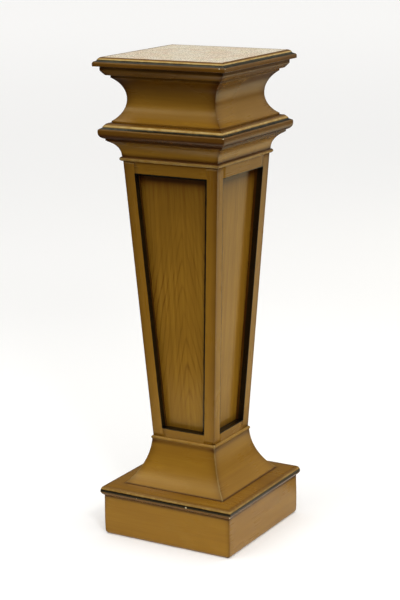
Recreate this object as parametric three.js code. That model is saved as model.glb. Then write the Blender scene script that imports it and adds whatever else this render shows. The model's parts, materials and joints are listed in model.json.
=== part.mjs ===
// Square display pedestal in lacquered wood with a loose marble slab let into its top.
// Millimetres, +Z up, the front face looks along -Y. The origin is on the floor, at the centre of the base.
import * as THREE from "three";

// Overall heights of the stack, from the floor up.
const PLINTH_TOP = 91.5;
const PLINTH_BOARD_TOP = 112;
const FLARE_TOP = 220;
const COLUMN_TOP = 838.5;
const COVE_TOP = 883.5;
const CORNICE_TOP = 920.5;
const NECK_TOP = 1021.5;
const BED_TOP = 1041;
const MARBLE_UNDERSIDE = 1045;
const TOP = 1060;

// Half widths, measured square from the vertical axis.
const PLINTH_HALF = 159;
const PLINTH_BOARD_HALF = 165.3;
const FLARE_NECK_HALF = 79.8;
const LOWER_BEAD_HALF = 81.4;
const COLUMN_FOOT_HALF = 77.4;
const COLUMN_HEAD_HALF = 115.1;
const UPPER_BEAD_HALF = 121.2;
const COVE_FOOT_HALF = 117.2;
const COVE_HEAD_HALF = 139.5;
const CORNICE_HALF = 153.4;
const NECK_FILLET_HALF = 131.6;
const NECK_WAIST_HALF = 107.3;
const BED_HALF = 147.8;
const TOP_FRAME_HALF = 159.2;
const REBATE_HALF = 143.3;

// Wood and stone thicknesses.
const PLINTH_BOARD_THICKNESS = 18;
const POST_WIDTH = 26;
const FRAME_THICKNESS = 18;
const PANEL_THICKNESS = 4;
const RECESS_FOOT = 240.5;
const RECESS_HEAD = 812;
const LINING_HALF = 98;
const FLARE_BACK_HALF = 56;
const FRAME_INNER_HALF = 125;

// Clearances: between glued mitres, between a rail and its posts, and round the loose slab.
const MITRE_GAP = 0.12;
const RAIL_GAP = 0.15;
const PANEL_GAP = 0.3;
const SLAB_GAP = 0.5;

const SIDES = ["front", "right", "back", "left"];

function finish(color, roughness) {
  return new THREE.MeshStandardMaterial({ color, roughness, metalness: 0 });
}

const FINISHES = {
  marble: () => finish(0xd8c8b0, 0.25),
  moulding: () => finish(0x7a5318, 0.4),
  frame: () => finish(0x80591c, 0.42),
  panel: () => finish(0x735018, 0.4),
  softwood: () => finish(0xb08a5a, 0.8),
};

const pedestal = new THREE.Group();
pedestal.name = "display_plinth";

function addPiece(name, geometry, makeFinish, turn = 0) {
  geometry.computeVertexNormals();
  const mesh = new THREE.Mesh(geometry, makeFinish());
  mesh.name = name;
  mesh.rotation.z = turn;
  pedestal.add(mesh);
  return mesh;
}

// Moves every vertex of a geometry with a function that takes and returns x, y, z.
function reshape(geometry, move) {
  const made = geometry.index ? geometry.toNonIndexed() : geometry;
  made.deleteAttribute("normal");
  made.deleteAttribute("uv");
  const position = made.getAttribute("position");
  for (let i = 0; i < position.count; i++) {
    const moved = move(position.getX(i), position.getY(i), position.getZ(i));
    position.setXYZ(i, moved[0], moved[1], moved[2]);
  }
  return made;
}

// A profile is drawn with x as the distance out from the pedestal's axis and y as the height.
function profile(draw, divisions = 12) {
  const shape = new THREE.Shape();
  draw(shape);
  shape.closePath();
  return new THREE.Shape(shape.getPoints(divisions));
}

// One side of a square frame: the profile run along the side and cut at 45 degrees at both ends.
function mitredGeometry(shape) {
  const run = new THREE.ExtrudeGeometry(shape, { depth: 1, bevelEnabled: false });
  return reshape(run, (out, height, t) => [(1 - 2 * t) * (out - MITRE_GAP), -out, height]);
}

function addMitredSet(name, shape, makeFinish) {
  SIDES.forEach((side, i) => {
    addPiece(name + "_" + side, mitredGeometry(shape), makeFinish, (i * Math.PI) / 2);
  });
}

// A solid square board with a moulded edge: half widths and heights listed from the underside up.
function squareBoard(name, edge, makeFinish) {
  const points = edge.map(([half, height]) => new THREE.Vector2(half * Math.SQRT2, height));
  points.unshift(new THREE.Vector2(0, edge[0][1]));
  points.push(new THREE.Vector2(0, edge[edge.length - 1][1]));
  const board = new THREE.LatheGeometry(points, 4, Math.PI / 4);
  board.rotateX(Math.PI / 2);
  return addPiece(name, reshape(board, (x, y, z) => [x, y, z]), makeFinish);
}

function plainBoard(name, half, bottom, top) {
  return squareBoard(name, [[half, bottom], [half, top]], FINISHES.softwood);
}

// Points of a quarter or half round: centre, radii, start and end angle in degrees, number of chords.
function round(centreOut, centreHeight, radiusOut, radiusHeight, from, to, chords) {
  const points = [];
  for (let i = 0; i <= chords; i++) {
    const angle = THREE.MathUtils.degToRad(from + ((to - from) * i) / chords);
    points.push([
      centreOut + radiusOut * Math.cos(angle),
      centreHeight + radiusHeight * Math.sin(angle),
    ]);
  }
  return points;
}

// Half width of the tapered column at a height.
function columnHalf(height) {
  const share = (height - FLARE_TOP) / (COLUMN_TOP - FLARE_TOP);
  return COLUMN_FOOT_HALF + share * (COLUMN_HEAD_HALF - COLUMN_FOOT_HALF);
}

// Radius of the arc that leaves a vertical tangent and reaches run outwards over rise in height.
function coveRadius(run, rise) {
  return (run * run + rise * rise) / (2 * run);
}

// ---- Marble slab, with a slightly eased upper edge ----
const SLAB_HALF = REBATE_HALF - SLAB_GAP;
const SLAB_EASE = 1;
squareBoard(
  "marble_slab",
  [
    [SLAB_HALF, MARBLE_UNDERSIDE],
    [SLAB_HALF, TOP - SLAB_EASE],
    [SLAB_HALF - SLAB_EASE, TOP],
  ],
  FINISHES.marble,
);

// ---- Top frame: thin rim, bead, painted quirk, rounded nose; rebated for the slab ----
const RIM = 2.7;
const TOP_BEAD = 5.7;
const NOSE_DROP = 8.6;
const topFrame = profile((s) => {
  const beadOut = REBATE_HALF + RIM + TOP_BEAD;
  const beadFoot = TOP - TOP_BEAD;
  const noseTop = TOP - NOSE_DROP;
  s.moveTo(FRAME_INNER_HALF, BED_TOP);
  s.lineTo(TOP_FRAME_HALF - 0.8, BED_TOP);
  s.lineTo(TOP_FRAME_HALF, BED_TOP + 0.8);
  s.lineTo(TOP_FRAME_HALF, noseTop - 4.5);
  s.quadraticCurveTo(TOP_FRAME_HALF, noseTop - 1, TOP_FRAME_HALF - 4, noseTop + 0.4);
  s.lineTo(beadOut + 0.8, noseTop + 1.4);
  s.lineTo(beadOut, beadFoot);
  s.quadraticCurveTo(beadOut - 1.8, TOP - 1.7, REBATE_HALF + RIM, TOP);
  s.lineTo(REBATE_HALF, TOP);
  s.lineTo(REBATE_HALF, MARBLE_UNDERSIDE);
  s.lineTo(FRAME_INNER_HALF, MARBLE_UNDERSIDE);
}, 8);
addMitredSet("top_frame_rail", topFrame, FINISHES.moulding);

// ---- Sub-top board, inside the top frame and the bed mould ----
plainBoard("sub_top_board", FRAME_INNER_HALF - 0.3, NECK_TOP, MARBLE_UNDERSIDE);

// ---- Bed mould: a short face, an ovolo and a flat underside ----
const BED_FACE = 9;
const bedMould = profile((s) => {
  s.moveTo(FRAME_INNER_HALF, NECK_TOP);
  s.lineTo(BED_HALF - 8.6, NECK_TOP);
  s.quadraticCurveTo(BED_HALF - 4.4, NECK_TOP + 4, BED_HALF, BED_TOP - BED_FACE);
  s.lineTo(BED_HALF, BED_TOP);
  s.lineTo(FRAME_INNER_HALF, BED_TOP);
}, 8);
addMitredSet("bed_mould", bedMould, FINISHES.moulding);

// ---- Neck: a deep hollow between two narrow fillets ----
const NECK_FILLET_TOP = 5.7;
const NECK_FILLET_FOOT = 4.5;
const NECK_RUN = NECK_FILLET_HALF - 0.6 - NECK_WAIST_HALF;
const neckRise = (NECK_TOP - NECK_FILLET_TOP - (CORNICE_TOP + NECK_FILLET_FOOT)) / 2;
const neckCentre = CORNICE_TOP + NECK_FILLET_FOOT + neckRise;
const neckRadius = coveRadius(NECK_RUN, neckRise);
const neckAngle = THREE.MathUtils.radToDeg(Math.asin(neckRise / neckRadius));
const neck = profile((s) => {
  s.moveTo(LINING_HALF, CORNICE_TOP);
  s.lineTo(NECK_FILLET_HALF, CORNICE_TOP);
  s.lineTo(NECK_FILLET_HALF, CORNICE_TOP + NECK_FILLET_FOOT);
  const hollow = round(
    NECK_WAIST_HALF + neckRadius, neckCentre, neckRadius, neckRadius,
    180 + neckAngle, 180 - neckAngle, 24,
  );
  hollow.forEach(([out, height]) => s.lineTo(out, height));
  s.lineTo(NECK_FILLET_HALF, NECK_TOP - NECK_FILLET_TOP);
  s.lineTo(NECK_FILLET_HALF, NECK_TOP);
  s.lineTo(LINING_HALF, NECK_TOP);
});
addMitredSet("neck_moulding", neck, FINISHES.moulding);
plainBoard("neck_board", LINING_HALF - 0.3, CORNICE_TOP - 18, CORNICE_TOP);

// ---- Middle cornice: ledge, bead, painted quirk, rounded nose, fillet ----
const CORNICE_LEDGE = 138.8;
const CORNICE_BEAD = 6.6;
const CORNICE_FILLET = 4;
const CORNICE_FILLET_HALF = 141.8;
const cornice = profile((s) => {
  const beadOut = CORNICE_LEDGE + CORNICE_BEAD;
  const noseTop = CORNICE_TOP - 11;
  s.moveTo(LINING_HALF, COVE_TOP);
  s.lineTo(CORNICE_FILLET_HALF, COVE_TOP);
  s.lineTo(CORNICE_FILLET_HALF, COVE_TOP + CORNICE_FILLET);
  s.quadraticCurveTo(CORNICE_HALF - 1.2, COVE_TOP + 7, CORNICE_HALF, noseTop - 10);
  s.lineTo(CORNICE_HALF, noseTop - 4);
  s.quadraticCurveTo(CORNICE_HALF, noseTop - 0.8, CORNICE_HALF - 4, noseTop + 0.4);
  s.lineTo(beadOut + 1, noseTop + 1.8);
  s.lineTo(beadOut, CORNICE_TOP - CORNICE_BEAD);
  s.quadraticCurveTo(beadOut - 2.4, CORNICE_TOP - 2.6, CORNICE_LEDGE, CORNICE_TOP);
  s.lineTo(LINING_HALF, CORNICE_TOP);
}, 8);
addMitredSet("cornice", cornice, FINISHES.moulding);

// ---- Cove with a half-round bead where it meets the column head ----
const UPPER_BEAD_RADIUS = 4.7;
const upperBeadHeight = COLUMN_TOP + UPPER_BEAD_RADIUS;
const coveFoot = COLUMN_TOP + 2 * UPPER_BEAD_RADIUS + 1;
const COVE_LIP = 1.5;
const coveRise = COVE_TOP - COVE_LIP - coveFoot;
const coveCurve = coveRadius(COVE_HEAD_HALF - COVE_FOOT_HALF, coveRise);
const coveAngle = THREE.MathUtils.radToDeg(Math.asin(coveRise / coveCurve));
const cove = profile((s) => {
  s.moveTo(LINING_HALF, COLUMN_TOP);
  const bead = round(
    UPPER_BEAD_HALF - UPPER_BEAD_RADIUS, upperBeadHeight, UPPER_BEAD_RADIUS, UPPER_BEAD_RADIUS,
    -90, 90, 10,
  );
  bead.forEach(([out, height]) => s.lineTo(out, height));
  const hollow = round(
    COVE_FOOT_HALF + coveCurve, coveFoot, coveCurve, coveCurve,
    180, 180 - coveAngle, 14,
  );
  hollow.forEach(([out, height]) => s.lineTo(out, height));
  s.lineTo(COVE_HEAD_HALF, COVE_TOP);
  s.lineTo(LINING_HALF, COVE_TOP);
});
addMitredSet("cove_moulding", cove, FINISHES.moulding);
plainBoard("column_head_board", LINING_HALF - 0.3, COLUMN_TOP, COLUMN_TOP + 18);

// ---- Column: four tapered corner posts, rails between them, panels behind ----
// A post is square in section, with its inner corner notched for the edges of two panels.
function postGeometry() {
  const section = new THREE.Shape([
    new THREE.Vector2(0, 0),
    new THREE.Vector2(POST_WIDTH, 0),
    new THREE.Vector2(POST_WIDTH, FRAME_THICKNESS),
    new THREE.Vector2(FRAME_THICKNESS, FRAME_THICKNESS),
    new THREE.Vector2(FRAME_THICKNESS, POST_WIDTH),
    new THREE.Vector2(0, POST_WIDTH),
  ]);
  const post = new THREE.ExtrudeGeometry(section, {
    depth: COLUMN_TOP - FLARE_TOP,
    bevelEnabled: false,
  });
  return reshape(post, (x, y, rise) => {
    const half = columnHalf(FLARE_TOP + rise);
    return [x - half, y - half, FLARE_TOP + rise];
  });
}

const CORNERS = ["front_left", "front_right", "back_right", "back_left"];
CORNERS.forEach((corner, i) => {
  addPiece("corner_post_" + corner, postGeometry(), FINISHES.frame, (i * Math.PI) / 2);
});

// A board on one tapered face, from one height to another, starting at a depth behind the face.
// The edges follow the taper, at a distance inside the column's edge given for each depth.
function faceBoard(bottom, top, depth, thickness, inset) {
  const section = new THREE.Shape([
    new THREE.Vector2(depth, bottom),
    new THREE.Vector2(depth, top),
    new THREE.Vector2(depth + thickness, top),
    new THREE.Vector2(depth + thickness, bottom),
  ]);
  const board = new THREE.ExtrudeGeometry(section, { depth: 1, bevelEnabled: false });
  return reshape(board, (back, height, t) => {
    const half = columnHalf(height);
    return [(2 * t - 1) * (half - inset(back)), back - half, height];
  });
}

SIDES.forEach((side, i) => {
  const turn = (i * Math.PI) / 2;
  const railInset = () => POST_WIDTH + RAIL_GAP;
  const bottomRail = faceBoard(FLARE_TOP, RECESS_FOOT, 0, FRAME_THICKNESS, railInset);
  const topRail = faceBoard(RECESS_HEAD, COLUMN_TOP, 0, FRAME_THICKNESS, railInset);
  const panelInset = (back) => back + PANEL_GAP;
  const panelDepth = FRAME_THICKNESS + 0.1;
  const panel = faceBoard(FLARE_TOP, COLUMN_TOP, panelDepth, PANEL_THICKNESS, panelInset);
  addPiece("bottom_rail_" + side, bottomRail, FINISHES.frame, turn);
  addPiece("top_rail_" + side, topRail, FINISHES.frame, turn);
  addPiece("panel_" + side, panel, FINISHES.panel, turn);
});

// ---- Flared base with a half-round bead at the column foot ----
const LOWER_BEAD_RADIUS = 4.2;
const lowerBeadHeight = FLARE_TOP - LOWER_BEAD_RADIUS;
const flareHead = FLARE_TOP - 2 * LOWER_BEAD_RADIUS;
const FLARE_EDGE = 2.5;
const FLARE_BACK_FOOT = 98;
const FLARE_START_ANGLE = 4;
const FLARE_CURVE = 151;
const flareStart = THREE.MathUtils.degToRad(FLARE_START_ANGLE);
const flareRise = flareHead - PLINTH_BOARD_TOP - FLARE_EDGE;
const flareEnd = Math.asin(Math.sin(flareStart) + flareRise / FLARE_CURVE);
const flareCentreOut = FLARE_NECK_HALF + FLARE_CURVE * Math.cos(flareStart);
const flareCentreHeight = flareHead + FLARE_CURVE * Math.sin(flareStart);
const flareFootHalf = flareCentreOut - FLARE_CURVE * Math.cos(flareEnd);
const flare = profile((s) => {
  s.moveTo(FLARE_BACK_FOOT, PLINTH_BOARD_TOP);
  s.lineTo(flareFootHalf, PLINTH_BOARD_TOP);
  const sweep = round(
    flareCentreOut, flareCentreHeight, FLARE_CURVE, FLARE_CURVE,
    180 + THREE.MathUtils.radToDeg(flareEnd), 180 + FLARE_START_ANGLE, 22,
  );
  sweep.forEach(([out, height]) => s.lineTo(out, height));
  const bead = round(
    LOWER_BEAD_HALF - LOWER_BEAD_RADIUS, lowerBeadHeight, LOWER_BEAD_RADIUS, LOWER_BEAD_RADIUS,
    -50, 90, 9,
  );
  bead.forEach(([out, height]) => s.lineTo(out, height));
  s.lineTo(FLARE_BACK_HALF, FLARE_TOP);
  s.lineTo(FLARE_BACK_HALF, FLARE_TOP - 30);
});
addMitredSet("flared_base", flare, FINISHES.moulding);
plainBoard("column_foot_board", FLARE_BACK_HALF - 0.3, FLARE_TOP - 18, FLARE_TOP);

// ---- Plinth: a nosed top board on four mitred boards with corner blocks ----
const NOSE_FLAT = 6;
const NOSE_FACE = 3;
const NOSE_FOOT = 8;
const nose = new THREE.Shape();
nose.moveTo(PLINTH_HALF + 0.2, PLINTH_TOP);
nose.quadraticCurveTo(
  PLINTH_BOARD_HALF - 1.5, PLINTH_TOP + 2.8,
  PLINTH_BOARD_HALF, PLINTH_TOP + NOSE_FOOT,
);
nose.lineTo(PLINTH_BOARD_HALF, PLINTH_TOP + NOSE_FOOT + NOSE_FACE);
nose.quadraticCurveTo(
  PLINTH_BOARD_HALF - 1.4, PLINTH_BOARD_TOP - 1.2,
  PLINTH_BOARD_HALF - NOSE_FLAT, PLINTH_BOARD_TOP,
);
const noseEdge = nose.getPoints(8).map((point) => [point.x, point.y]);
squareBoard("plinth_top_board", noseEdge, FINISHES.moulding);

const FOOT_ROUND = 8;
const plinthInner = PLINTH_HALF - PLINTH_BOARD_THICKNESS;
const plinthBoard = profile((s) => {
  s.moveTo(plinthInner, 0);
  const foot = round(
    PLINTH_HALF - FOOT_ROUND, FOOT_ROUND, FOOT_ROUND, FOOT_ROUND, -90, 0, 8,
  );
  foot.forEach(([out, height]) => s.lineTo(out, height));
  s.lineTo(PLINTH_HALF, PLINTH_TOP);
  s.lineTo(plinthInner, PLINTH_TOP);
});
addMitredSet("plinth_board", plinthBoard, FINISHES.moulding);

const BLOCK = 26;
const BLOCK_LIFT = 6;
CORNERS.forEach((corner, i) => {
  const place = plinthInner - 0.3 - BLOCK / 2;
  const height = PLINTH_TOP - BLOCK_LIFT;
  const block = new THREE.BoxGeometry(BLOCK, BLOCK, height);
  block.translate(-place, -place, BLOCK_LIFT + height / 2);
  addPiece("glue_block_" + corner, block, FINISHES.softwood, (i * Math.PI) / 2);
});

export default pedestal;
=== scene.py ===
"""Looks of a square display pedestal: antiqued golden-brown lacquer on wood, with a loose marble slab.

Every wooden node that shows is rebuilt as a finer mesh on its own section, with softened arrises and
tight mitres. Point attributes tell the materials where grain runs, where glaze, paint and wear lie,
and where painted shade, painted shadow and painted highlights lie.
"""

import json
import math

import bmesh
import bpy
import numpy as np
from mathutils import Matrix, Vector, noise

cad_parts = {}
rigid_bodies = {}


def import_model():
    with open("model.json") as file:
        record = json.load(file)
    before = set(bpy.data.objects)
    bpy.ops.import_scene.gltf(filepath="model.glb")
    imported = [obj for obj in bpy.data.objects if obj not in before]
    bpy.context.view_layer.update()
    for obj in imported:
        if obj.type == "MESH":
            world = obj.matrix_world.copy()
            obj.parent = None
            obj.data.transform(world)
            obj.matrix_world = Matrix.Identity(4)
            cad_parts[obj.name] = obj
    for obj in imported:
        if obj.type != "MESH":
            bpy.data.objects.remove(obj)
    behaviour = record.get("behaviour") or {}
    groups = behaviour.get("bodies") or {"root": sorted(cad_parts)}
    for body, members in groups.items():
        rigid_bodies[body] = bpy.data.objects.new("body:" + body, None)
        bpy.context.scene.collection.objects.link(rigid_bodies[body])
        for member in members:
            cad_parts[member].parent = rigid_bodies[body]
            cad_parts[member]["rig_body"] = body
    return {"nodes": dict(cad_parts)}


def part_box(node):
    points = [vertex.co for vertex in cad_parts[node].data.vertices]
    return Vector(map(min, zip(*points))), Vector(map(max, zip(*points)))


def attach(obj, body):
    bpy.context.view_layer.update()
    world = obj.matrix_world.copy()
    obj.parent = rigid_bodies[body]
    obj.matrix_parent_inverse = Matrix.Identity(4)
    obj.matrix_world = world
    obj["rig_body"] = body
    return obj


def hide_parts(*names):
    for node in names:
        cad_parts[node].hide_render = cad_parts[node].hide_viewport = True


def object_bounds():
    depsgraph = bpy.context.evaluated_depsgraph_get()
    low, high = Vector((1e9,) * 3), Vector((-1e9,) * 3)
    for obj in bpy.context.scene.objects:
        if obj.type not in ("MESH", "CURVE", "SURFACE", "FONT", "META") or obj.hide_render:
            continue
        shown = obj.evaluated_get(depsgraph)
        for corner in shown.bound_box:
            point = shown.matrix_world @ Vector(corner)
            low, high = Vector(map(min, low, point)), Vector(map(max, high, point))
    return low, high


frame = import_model()
cad_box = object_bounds()

MM = 0.001
SIDES = ("front", "right", "back", "left")
CORNERS = ("front_left", "front_right", "back_right", "back_left")

# Camera: where it stands, as directions and distances in the frame.
CAMERA_AZIMUTH = math.radians(30.3)
CAMERA_ELEVATION = math.radians(14.1)
CAMERA_ROLL = math.radians(-0.79)
CAMERA_DISTANCE = 3.706
CAMERA_AIM_HEIGHT = 0.53
CAMERA_OFFSET = (0.0019, -0.0091)
CAMERA_LENS = 101.3

# Sections: how finely they are sampled, how soft their arrises are, and how far round a point the
# finish looks to tell a proud arris from a hollow.
SAMPLE_STEP = 0.35 * MM
ARRIS_SOFTNESS = 0.45 * MM
CUT_SOFTNESS = 0.1 * MM
SMOOTH_CORNER = math.radians(24)
SHARPEST_TURN = math.radians(7)
LONGEST_CHORD = 3.0 * MM
BOARD_CHORD = 1.6 * MM
WEAR_REACH = 1.3 * MM
GLAZE_REACH = 5.0 * MM

# Unevenness: how far a surface swells, and how many swells there are to the metre.
MOULDING_SWELL = 0.12 * MM
FRAME_SWELL = 0.03 * MM
BROAD_SWELLS = 14
NARROW_SWELLS = 45

# Rails run a little way under the posts, and lie a hair's breadth behind the posts' faces.
JOINT_TUCK = 0.5 * MM
RAIL_SETBACK = 0.002 * MM

# Black paint round the openings of the column: out over the face and down the recess wall. On the
# panel, the black along its top and the wide black down the front panel's right side are painted shadow
# of the top rail and the right post; a thin black edge of paint runs along its left and right sides.
LIP_PAINT = 1.6 * MM
WALL_PAINT = 13.5 * MM
TOP_RIM = 6.0 * MM
PLAIN_RIM = (0.5 * MM, 0.5 * MM)
FRONT_RIM = (0.5 * MM, 12.5 * MM)
FRAME_PAINT_SLOPE = 3 * MM
PANEL_PAINT_AND_SHADOW_SLOPE = 5 * MM

# The veneer's arches: spacing across, lean, roundness of the tip, wander, and where each panel's
# middle arch lies. The plain panels take their figure from further up the same log, where the arches
# have mostly faded out.
FIGURE_PITCH = 13 * MM
FIGURE_SLOPE = 0.22
FIGURE_TIP = 2.5 * MM
FIGURE_SWAY = 26 * MM
PLAIN_FIGURE_SHIFT = 0.8
FIGURE_CENTRES = (9 * MM, 12 * MM, -6 * MM, 3 * MM)

# Noise scales to the metre: along the grain, then twice across it.
FIBRES = (9, 420, 420)
BLOTCHES = (7, 11, 11)
PATCHES = (60, 60, 60)
PAINT_EDGES = (40, 300, 300)
PORES = (28, 900, 900)
ORANGE_PEEL = (230, 230, 230)
CHIP_EDGES = (420, 420, 420)
WANDER = (2.2, 16, 16)
MOULDING_STREAKS = (3.5, 95, 95)
VENEER_STREAKS = (2.2, 130, 130)
ARCH_WOBBLE = (5, 14, 14)
ARCH_STRENGTH = (5, 40, 40)

# Studio: half the floor's width, the far wall, the sheets' corners, the glow of the paper, the height
# that the lights aim at, and the dim light of the room.
FLOOR_HALF = 60
WALL_REACH = 42
WALL_HEIGHT = 30
WALL_PARTS = 48
FRONT_SHEET = ((-0.54, -0.75), (2.6, 0.3))
BACK_SHEET = ((0.35, 0.3), (2.6, 5))
FLOOR_DROP = 0.2 * MM
SHEET_DROP = 0.4 * MM
NEAR_GLOW = (0.6, 2.4)
FAR_GLOW = (3.0, 14.0)
AIM_HEIGHT = 0.55
WORLD_COLOUR = (1.0, 0.99, 0.97, 1)
WORLD_STRENGTH = 0.12


# ---------------------------------------------------------------- sections


def node_bmesh(node):
    """The node's mesh with its flat faces whole again."""
    bm = bmesh.new()
    bm.from_mesh(frame["nodes"][node].data)
    bmesh.ops.remove_doubles(bm, verts=bm.verts, dist=1e-6)
    bmesh.ops.dissolve_limit(bm, angle_limit=math.radians(0.5), verts=bm.verts, edges=bm.edges)
    return bm


def end_face(node, direction):
    """Corners, in order, of the node's flat face that looks most nearly along direction."""
    bm = node_bmesh(node)
    aim = Vector(direction).normalized()
    face = max(bm.faces, key=lambda f: round(f.normal.dot(aim), 3) + 1e-3 * f.calc_area())
    corners = np.array([v.co for v in face.verts])
    bm.free()
    return corners


def signed_area(points):
    following = np.roll(points, -1, 0)
    cross = points[:, 0] * following[:, 1] - points[:, 1] * following[:, 0]
    return 0.5 * cross.sum()


def curved(points):
    """A closed outline sampled finely, with its nearly smooth corners turned into curves."""
    before = points - np.roll(points, 1, 0)
    after = np.roll(points, -1, 0) - points
    cross = before[:, 0] * after[:, 1] - before[:, 1] * after[:, 0]
    smooth = np.abs(np.arctan2(cross, (before * after).sum(1))) < SMOOTH_CORNER
    middle = before / np.linalg.norm(before, axis=1)[:, None]
    middle = middle + after / np.linalg.norm(after, axis=1)[:, None]
    middle /= np.maximum(np.linalg.norm(middle, axis=1), 1e-9)[:, None]
    samples = []
    for i in range(len(points)):
        j = (i + 1) % len(points)
        length = np.linalg.norm(after[i])
        chord = after[i] / length
        leave = middle[i] if smooth[i] else chord
        arrive = middle[j] if smooth[j] else chord
        count = max(2, int(round(length / SAMPLE_STEP)))
        t = np.arange(count)[:, None] / count
        samples.append(
            (2 * t**3 - 3 * t**2 + 1) * points[i]
            + (t**3 - 2 * t**2 + t) * length * leave
            + (3 * t**2 - 2 * t**3) * points[j]
            + (t**3 - t**2) * length * arrive
        )
    return np.concatenate(samples)


def blurred(values, reach, step):
    """Values round a closed outline, smoothed with a bell of that reach."""
    half = int(math.ceil(3 * reach / step))
    offsets = np.arange(-half, half + 1)
    weights = np.exp(-0.5 * (offsets * step / reach) ** 2)
    weights /= weights.sum()
    return sum(w * np.roll(values, o, 0) for o, w in zip(offsets, weights))


def section_of(points, softness=ARRIS_SOFTNESS, chord=LONGEST_CHORD):
    """A softened outline, thinned to the points it needs, with how far each stands proud or hollow."""
    if signed_area(points) < 0:
        points = points[::-1]
    fine = curved(points)
    step = np.linalg.norm(np.roll(fine, -1, 0) - fine, axis=1).mean()
    soft = blurred(fine, softness, step)
    along = np.roll(soft, -1, 0) - np.roll(soft, 1, 0)
    along /= np.linalg.norm(along, axis=1)[:, None]
    outward = np.stack([along[:, 1], -along[:, 0]], 1)
    proud = ((soft - blurred(fine, WEAR_REACH, step)) * outward).sum(1)
    hollow = ((blurred(fine, GLAZE_REACH, step) - soft) * outward).sum(1)
    heading = np.unwrap(np.arctan2(along[:, 1], along[:, 0]))
    kept = [0]
    for i in range(1, len(soft)):
        turned = abs(heading[i] - heading[kept[-1]])
        walked = (i - kept[-1]) * step
        if turned > SHARPEST_TURN and i - 1 > kept[-1]:
            kept.append(i - 1)
        if turned > SHARPEST_TURN or walked > chord:
            kept.append(i)
    return {"at": soft[kept], "out": outward[kept], "proud": proud[kept], "hollow": hollow[kept]}


# ---------------------------------------------------------------- meshes


def quads_between(rows, ring):
    """Faces of a tube of rows, each a closed ring of points, with both ends capped."""
    faces = []
    for j in range(rows - 1):
        for i in range(ring):
            k = (i + 1) % ring
            faces.append((j * ring + i, j * ring + k, (j + 1) * ring + k, (j + 1) * ring + i))
    first = tuple(reversed(range(ring)))
    last = tuple((rows - 1) * ring + i for i in range(ring))
    return faces + [first, last]


def add_attribute(mesh, name, values):
    values = np.asarray(values, np.float32)
    kind = "FLOAT" if values.ndim == 1 else "FLOAT_VECTOR"
    layer = mesh.attributes.new(name, kind, "POINT")
    layer.data.foreach_set("value" if values.ndim == 1 else "vector", values.ravel())


def add_piece(name, points, faces, attributes, node, material, turn=0):
    """A mesh piece that stands for a frame node, turned about the pedestal's axis by quarter turns."""
    mesh = bpy.data.meshes.new(name)
    spin = Matrix.Rotation(turn * math.pi / 2, 3, "Z")
    mesh.from_pydata([spin @ Vector(p) for p in points], [], faces)
    for key, values in attributes.items():
        add_attribute(mesh, key, values)
    bm = bmesh.new()
    bm.from_mesh(mesh)
    bmesh.ops.recalc_face_normals(bm, faces=bm.faces)
    bm.to_mesh(mesh)
    bm.free()
    smooth_corners = 4
    mesh.polygons.foreach_set("use_smooth", [len(p.vertices) <= smooth_corners for p in mesh.polygons])
    mesh.materials.append(material)
    piece = bpy.data.objects.new(name, mesh)
    bpy.context.scene.collection.objects.link(piece)
    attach(piece, frame["nodes"][node]["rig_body"])
    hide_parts(node)
    return piece


def unevenness(point, size):
    """Slow hand-worked waviness of a surface, as a distance."""
    broad = noise.noise(Vector(point) * BROAD_SWELLS)
    narrow = noise.noise(Vector(point) * NARROW_SWELLS + Vector((7, 3, 1)))
    return size * (broad + 0.4 * narrow)


def side_stations(corner_arc, pitch, half):
    """Places along one side of a mitred frame: (share of the straight run, angle into the corner)."""
    count = max(6, int(round(2 * half / pitch)))
    shares = [-1 + 2 * i / count for i in range(count + 1)]
    close_to_corner = (0.985, 0.96, 0.93)
    shares += [sign * n for n in close_to_corner for sign in (-1, 1)]
    straight = [(share, 0.0) for share in sorted(shares)]
    arcs = [math.radians(45) * (i + 1) / corner_arc for i in range(corner_arc)]
    left = [(-1.0, -a) for a in reversed(arcs)]
    right = [(1.0, a) for a in arcs]
    return left + straight + right


def mitred_piece(kind, side, corner_radius, material, marks, mitre, pitch=9 * MM):
    """One side of a square moulded frame, rebuilt from the section at its node's mitre.

    marks gives the glaze and painted shade, the wear and painted highlights, and the paint round the
    section. mitre says what the finish does beside the mitre: how far the glaze reaches, and how much
    glaze and wear are added there.
    """
    node = f"{kind}_{side}"
    corners = end_face(f"{kind}_front", (1, 1, 0))
    section = section_of(np.stack([-corners[:, 1], corners[:, 2]], 1))
    turn = SIDES.index(side)
    half, height = section["at"].T
    marked = marks(section)
    glaze_reach, mitre_glaze, mitre_wear = mitre
    wear_reach = 1.6 * MM
    stations = side_stations(3, pitch, half.max())
    shift = Vector((3.1 * turn, 1.7 * turn, 0.6 * len(kind)))
    points, grain, worn, glaze = [], [], [], []
    for share, angle in stations:
        inner = half - corner_radius
        x = share * inner + corner_radius * math.sin(angle)
        out = inner + corner_radius * math.cos(angle)
        for i in range(len(half)):
            swell = unevenness((x[i] + shift.x, out[i] + shift.y, height[i]), MOULDING_SWELL)
            swelled = section["out"][i] * swell * (1 - abs(math.sin(angle)))
            points.append((x[i], -out[i] - swelled[0], height[i] + swelled[1]))
            grain.append((x[i] + shift.x, out[i] + shift.y, height[i] + shift.z))
        from_mitre = np.maximum(out - np.abs(x), 0)
        worn.append(marked["worn"] + mitre_wear * np.exp(-((from_mitre / wear_reach) ** 2)))
        glaze.append(marked["glaze"] + mitre_glaze * np.exp(-from_mitre / glaze_reach))
    attributes = {
        "grain": grain,
        "worn": np.clip(np.concatenate(worn), 0, 1),
        "glaze": np.clip(np.concatenate(glaze), 0, 1),
        "paint": np.tile(marked["paint"], len(stations)),
    }
    faces = quads_between(len(stations), len(half))
    return add_piece(node + "_visual", points, faces, attributes, node, material, turn)


def band(values, low, high, soft=0.8 * MM):
    """1 where values lie between low and high, fading over soft at either end."""
    rise = np.clip((values - low) / soft + 0.5, 0, 1)
    fall = np.clip((high - values) / soft + 0.5, 0, 1)
    return rise * fall


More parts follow.
